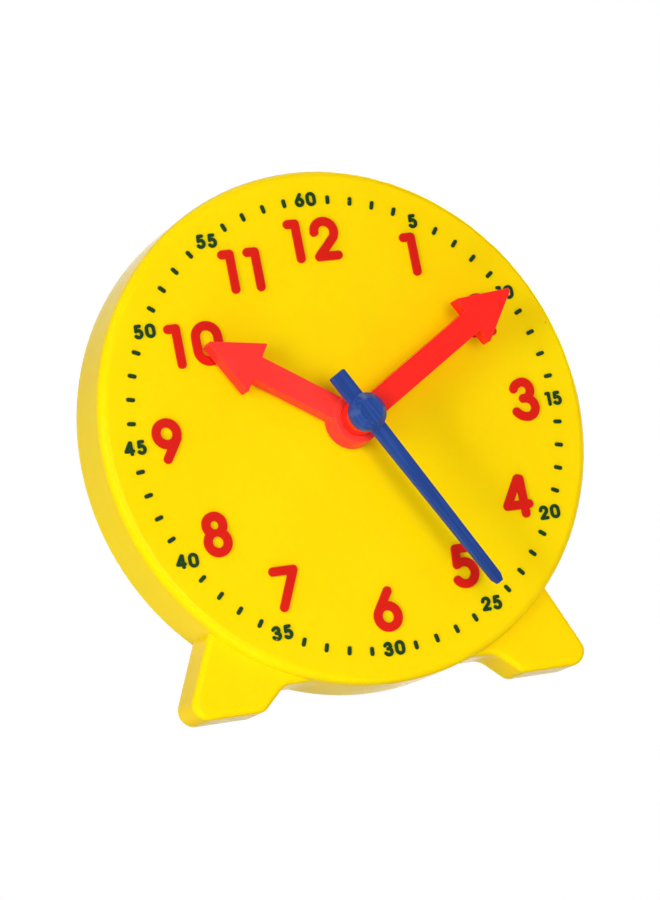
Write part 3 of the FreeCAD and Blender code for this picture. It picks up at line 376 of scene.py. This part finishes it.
def metal(name, colour, shine=0.3):
    """Turned metal: fine rings along the axis and a cloudy tarnish."""
    material = bpy.data.materials.new(name)
    tree, shader = nodes_of(material)
    cloud = noise(tree, object_place(tree), per_metre=300.0, detail=4.0, roughness=0.6)
    dull = tuple(TARNISHED_SHARE * part for part in colour)
    tree.links.new(blend_colours(tree, cloud, colour, dull), shader.inputs["Base Color"])
    rough = ramp(tree, cloud, shine - 0.08, shine + 0.12, low_at=0.3, high_at=0.7)
    tree.links.new(rough, shader.inputs["Roughness"])
    shader.inputs["Metallic"].default_value = 1.0
    rings = noise(tree, object_place(tree, finer=(0.2, 12.0, 0.2)), per_metre=900.0)
    bumps(tree, shader, rings, strength=0.08, depth=0.1 * MM)
    return material


def pick_alone(thing):
    bpy.ops.object.select_all(action="DESELECT")
    thing.select_set(True)
    bpy.context.view_layer.objects.active = thing


def pick_faces(piece, wanted):
    """Edit mode on the piece, with only the faces picked for which wanted holds."""
    pick_alone(piece)
    bpy.ops.object.mode_set(mode="EDIT")
    bpy.ops.mesh.select_mode(type="FACE")
    bpy.ops.mesh.select_all(action="DESELECT")
    bpy.ops.object.mode_set(mode="OBJECT")
    for face in piece.data.polygons:
        face.select = wanted(face)
    bpy.ops.object.mode_set(mode="EDIT")


def copy_node(node, name):
    """A merged copy of a node of the frame, in the same place, to work on."""
    pick_alone(frame["nodes"][node])
    bpy.ops.object.duplicate()
    piece = bpy.context.object
    piece.name = name
    piece.data.name = name
    del piece["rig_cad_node"]
    bpy.ops.object.mode_set(mode="EDIT")
    bpy.ops.mesh.select_all(action="SELECT")
    bpy.ops.mesh.remove_doubles(threshold=MERGE_WITHIN)
    bpy.ops.mesh.dissolve_limited(angle_limit=FLAT_WITHIN)
    bpy.ops.object.mode_set(mode="OBJECT")
    bpy.ops.mesh.customdata_custom_splitnormals_clear()
    return piece


def apply_modifier(piece, kind, **settings):
    modifier = piece.modifiers.new(kind.lower(), kind)
    for name, setting in settings.items():
        setattr(modifier, name, setting)
    pick_alone(piece)
    bpy.ops.object.modifier_apply(modifier=modifier.name)


def smooth(piece):
    """Curves shaded smooth, flats kept flat."""
    pick_alone(piece)
    bpy.ops.object.shade_smooth_by_angle(angle=SMOOTH_UP_TO)
    apply_modifier(piece, "WEIGHTED_NORMAL", keep_sharp=True)


def round_front(piece, front, width):
    """Rounds the outline of the foremost faces, which lie at front or just behind it."""
    behind = front + FRONT_DEPTH
    pick_faces(piece, lambda face: face.normal.y < -0.9 and face.center.y < behind)
    bpy.ops.mesh.region_to_loop()
    bpy.ops.mesh.bevel(offset=width, segments=3, profile=0.5, affect="EDGES", clamp_overlap=True)
    bpy.ops.object.mode_set(mode="OBJECT")


def fit(piece, node, body, material):
    """The piece takes the node's place on its body, in its finish."""
    piece.data.materials.clear()
    piece.data.materials.append(material)
    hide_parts(node)
    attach(piece, body)


def dress(node, name, body, material, rounding=0.0):
    """A smoothed copy of the node takes its place. Rounding is for its front outline."""
    piece = copy_node(node, name)
    if rounding:
        round_front(piece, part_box(node)[0].y, rounding)
    smooth(piece)
    fit(piece, node, body, material)


def make_case():
    plastic = case_plastic()
    dress("front_case", "case_shell", "case", plastic)
    dress("back_cover", "cover_plate", "case", plastic)


def press_pin_mark(across, up):
    """A low round stud with a shallow dip, from a cylinder that stands in the cover."""
    middle = COVER_BACK + (PIN_STANDS - PIN_ROOT) / 2
    bpy.ops.object.select_all(action="DESELECT")
    bpy.ops.mesh.primitive_cylinder_add(
        vertices=PIN_SIDES, radius=PIN_RADIUS, depth=PIN_ROOT + PIN_STANDS,
        location=(across, middle, up), rotation=(math.radians(90.0), 0.0, 0.0),
    )
    mark = bpy.context.object
    bpy.ops.object.transform_apply(location=True, rotation=True, scale=True)
    pick_faces(mark, lambda face: face.normal.y > 0.9)
    bpy.ops.mesh.inset(thickness=PIN_RIM, depth=0.0)
    bpy.ops.mesh.inset(thickness=PIN_STEP, depth=0.0)
    bpy.ops.transform.translate(value=(0.0, -PIN_DIP, 0.0))
    bpy.ops.object.mode_set(mode="OBJECT")
    return mark


def move_copy(piece, across, up):
    pick_alone(piece)
    bpy.ops.object.duplicate()
    again = bpy.context.object
    bpy.ops.transform.translate(value=(across, 0.0, up))
    bpy.ops.object.transform_apply(location=True, rotation=True, scale=True)
    return again


def join_all(pieces):
    bpy.ops.object.select_all(action="DESELECT")
    for piece in pieces:
        piece.select_set(True)
    bpy.context.view_layer.objects.active = pieces[0]
    bpy.ops.object.join()


def make_ejector_marks():
    """Four shallow round marks that the pins of the mould left on the cover."""
    mark = press_pin_mark(-PIN_ASIDE, DIAL_MIDDLE.z + PIN_ABOVE)
    row_gap = PIN_ABOVE + PIN_BELOW
    steps = ((2 * PIN_ASIDE, 0.0), (0.0, -row_gap), (2 * PIN_ASIDE, -row_gap))
    join_all([mark] + [move_copy(mark, across, up) for across, up in steps])
    mark.name = "ejector_marks"
    apply_modifier(mark, "BEVEL", width=PIN_ROUNDING, segments=2, limit_method="ANGLE")
    smooth(mark)
    mark.data.materials.append(cover_mark_plastic())
    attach(mark, "case")


def make_numerals():
    paint = numeral_paint()
    dress("hour_numerals", "raised_numerals", "case", paint, NUMERAL_ROUNDING)


def make_marks():
    paint = mark_paint()
    for node, name in (("minute_numbers", "raised_numbers"), ("minute_ticks", "raised_ticks")):
        dress(node, name, "case", paint, MARK_ROUNDING)


def make_hour_arrow():
    plastic = arrow_plastic("hour_hand_red", HOUR_HAND_RED, HOUR_HAND_RED_DEEP)
    dress("hour_hand", "hour_arrow", "hour", plastic)


def make_minute_arrow():
    plastic = arrow_plastic("minute_hand_red", MINUTE_HAND_RED, MINUTE_HAND_RED_DEEP)
    dress("minute_hand", "minute_arrow", "minute", plastic)


def make_pointer():
    dress("second_hand", "second_pointer", "second", pointer_plastic())


def make_knob():
    plastic = plain_plastic("knob_red", KNOB_RED, KNOB_RED_DEEP)
    dress("set_knob", "fluted_knob", "idler", plastic)


def make_hardware():
    """Screws, post and shaft."""
    steel = metal("plated_steel", STEEL)
    for node, name, body in (
        ("case_screws", "cover_screws", "case"),
        ("plate_screws", "inner_screws", "case"),
        ("knob_screw", "knob_end_screw", "idler"),
        ("center_post", "turned_post", "case"),
        ("knob_shaft", "turned_shaft", "idler"),
    ):
        dress(node, name, body, steel)


def make_washers():
    brass = metal("spring_brass", BRASS)
    dress("dial_washer", "dished_dial_washer", "case", brass)
    dress("tension_washer", "dished_gear_washer", "case", brass)


def make_gears():
    """The wheels and the plate that holds them."""
    for node, name, body, slot, colour, deep in (
        ("idler_gear", "cut_idler", "idler", "gear_white", GEAR_WHITE, GEAR_WHITE_DEEP),
        ("hour_wheel", "cut_hour_wheel", "hour", "gear_red", GEAR_RED, GEAR_RED_DEEP),
        ("minute_arbor", "cut_minute_pinion", "minute", "gear_blue", GEAR_BLUE, GEAR_BLUE_DEEP),
        ("gear_plate", "ribbed_plate", "case", "plate_grey", PLATE_GREY, PLATE_GREY_DEEP),
    ):
        dress(node, name, body, plain_plastic(slot, colour, deep))


def direct_or_mirrored(tree):
    """1 for what the camera sees directly, in a reflection or through glass."""
    path = add_node(tree, "ShaderNodeLightPath")
    glossy = path.outputs["Is Glossy Ray"]
    mirrored = calculate(tree, "MAXIMUM", glossy, path.outputs["Is Transmission Ray"])
    return calculate(tree, "MAXIMUM", path.outputs["Is Camera Ray"], mirrored)


def choose_shader(tree, output_type, factor, otherwise, chosen):
    """The chosen shader where the factor is 1 and the other where it is 0."""
    choice = add_node(tree, "ShaderNodeMixShader")
    output = next(n for n in tree.nodes if n.type == output_type)
    tree.links.new(factor, choice.inputs["Fac"])
    tree.links.new(otherwise, choice.inputs[1])
    tree.links.new(chosen, choice.inputs[2])
    tree.links.new(choice.outputs["Shader"], output.inputs["Surface"])


def floor_finish():
    """Pale, and clear where the camera looks at it from below and for all other light."""
    material = bpy.data.materials.new("pale_floor")
    tree, shader = nodes_of(material)
    shader.inputs["Base Color"].default_value = (0.86, 0.86, 0.86, 1.0)
    shader.inputs["Roughness"].default_value = 0.8
    shader.inputs["Emission Color"].default_value = (1.0, 1.0, 1.0, 1.0)
    shader.inputs["Emission Strength"].default_value = 0.3
    side = add_node(tree, "ShaderNodeNewGeometry")
    above = calculate(tree, "SUBTRACT", 1.0, side.outputs["Backfacing"])
    seen = calculate(tree, "MULTIPLY", direct_or_mirrored(tree), above)
    clear = add_node(tree, "ShaderNodeBsdfTransparent")
    choose_shader(tree, "OUTPUT_MATERIAL", seen, clear.outputs["BSDF"], shader.outputs["BSDF"])
    return material


def make_floor():
    bpy.ops.object.select_all(action="DESELECT")
    bpy.ops.mesh.primitive_plane_add(size=6.0, location=(0.0, 0.0, 0.0))
    floor = bpy.context.object
    floor.name = "floor"
    floor.data.materials.append(floor_finish())


def make_world():
    """White to the camera, and a soft warm light on the object."""
    world = bpy.data.worlds.new("studio")
    bpy.context.scene.world = world
    world.use_nodes = True
    tree = world.node_tree
    shown = next(n for n in tree.nodes if n.type == "BACKGROUND")
    shown.inputs["Color"].default_value = (1.0, 1.0, 1.0, 1.0)
    shown.inputs["Strength"].default_value = 1.0
    lighting = add_node(tree, "ShaderNodeBackground")
    lighting.inputs["Color"].default_value = (1.0, 0.94, 0.86, 1.0)
    lighting.inputs["Strength"].default_value = 0.28
    light = lighting.outputs["Background"]
    white = shown.outputs["Background"]
    choose_shader(tree, "OUTPUT_WORLD", direct_or_mirrored(tree), light, white)


def from_dial(right, up, forward, distance):
    """A place seen from the middle of the dial in a direction, at a distance in metres."""
    return DIAL_MIDDLE + Vector((right, -forward, up)).normalized() * distance


def softbox(name, place, width, height, watts, colour=(1.0, 1.0, 1.0)):
    """A lamp that faces the middle of the dial."""
    lamp = bpy.data.lights.new(name, "AREA")
    lamp.color = colour
    lamp.shape = "RECTANGLE"
    lamp.size = width
    lamp.size_y = height
    lamp.energy = watts
    holder = bpy.data.objects.new(name, lamp)
    bpy.context.scene.collection.objects.link(holder)
    holder.location = place
    holder.rotation_euler = (DIAL_MIDDLE - place).to_track_quat("-Z", "Y").to_euler()


def make_lights():
    """Each lamp's direction is right, up and forward of the dial. Sizes are in metres."""
    front = from_dial(-0.08, -0.06, 1.0, distance=1.0)
    left = from_dial(-0.88, 0.08, 0.47, distance=0.8)
    left_level = from_dial(-0.88, 0.0, 0.47, distance=0.8)
    low_left = from_dial(-0.5, -0.75, 0.38, distance=0.6)
    table = from_dial(-0.35, -1.0, 0.5, distance=0.6)
    top = from_dial(0.25, 1.0, -0.1, distance=1.4)
    right = from_dial(1.0, 0.1, -0.1, distance=1.4)
    back = from_dial(0.9, 0.5, -0.8, distance=1.6)
    softbox("front_softbox", front, width=0.5, height=0.5, watts=5.1)
    softbox("left_softbox", left, width=0.35, height=0.5, watts=2.0)
    softbox("left_strip", left_level, width=0.03, height=0.5, watts=1.6)
    softbox("low_strip", low_left, width=0.03, height=0.4, watts=0.7)
    softbox("table_bounce", table, width=0.5, height=0.3, watts=0.5, colour=(1.0, 0.9, 0.72))
    softbox("top_panel", top, width=0.8, height=0.8, watts=4.0)
    softbox("right_panel", right, width=0.6, height=0.8, watts=3.5)
    softbox("back_panel", back, width=0.9, height=0.7, watts=13.0)


def make_camera():
    data = bpy.data.cameras.new("photo_camera")
    data.sensor_width = SENSOR_WIDTH
    data.lens = FOCAL_PIXELS * SENSOR_WIDTH / PHOTO_HEIGHT
    data.shift_x, data.shift_y = CAMERA_SHIFT
    data.clip_start = CAMERA_NEAR
    camera = bpy.data.objects.new("photo_camera", data)
    bpy.context.scene.collection.objects.link(camera)
    back = CAMERA_BACK.normalized()
    right = (CAMERA_RIGHT - back * CAMERA_RIGHT.dot(back)).normalized()
    turn = Matrix((right, back.cross(right), back)).transposed().to_4x4()
    camera.matrix_world = Matrix.Translation(DIAL_MIDDLE + CAMERA_FROM_DIAL) @ turn
    bpy.context.scene.camera = camera


make_case()
make_ejector_marks()
make_numerals()
make_marks()
make_hour_arrow()
make_minute_arrow()
make_pointer()
make_knob()
make_hardware()
make_washers()
make_gears()
make_floor()
make_world()
make_lights()
make_camera()
bpy.context.scene.view_settings.view_transform = "Standard"
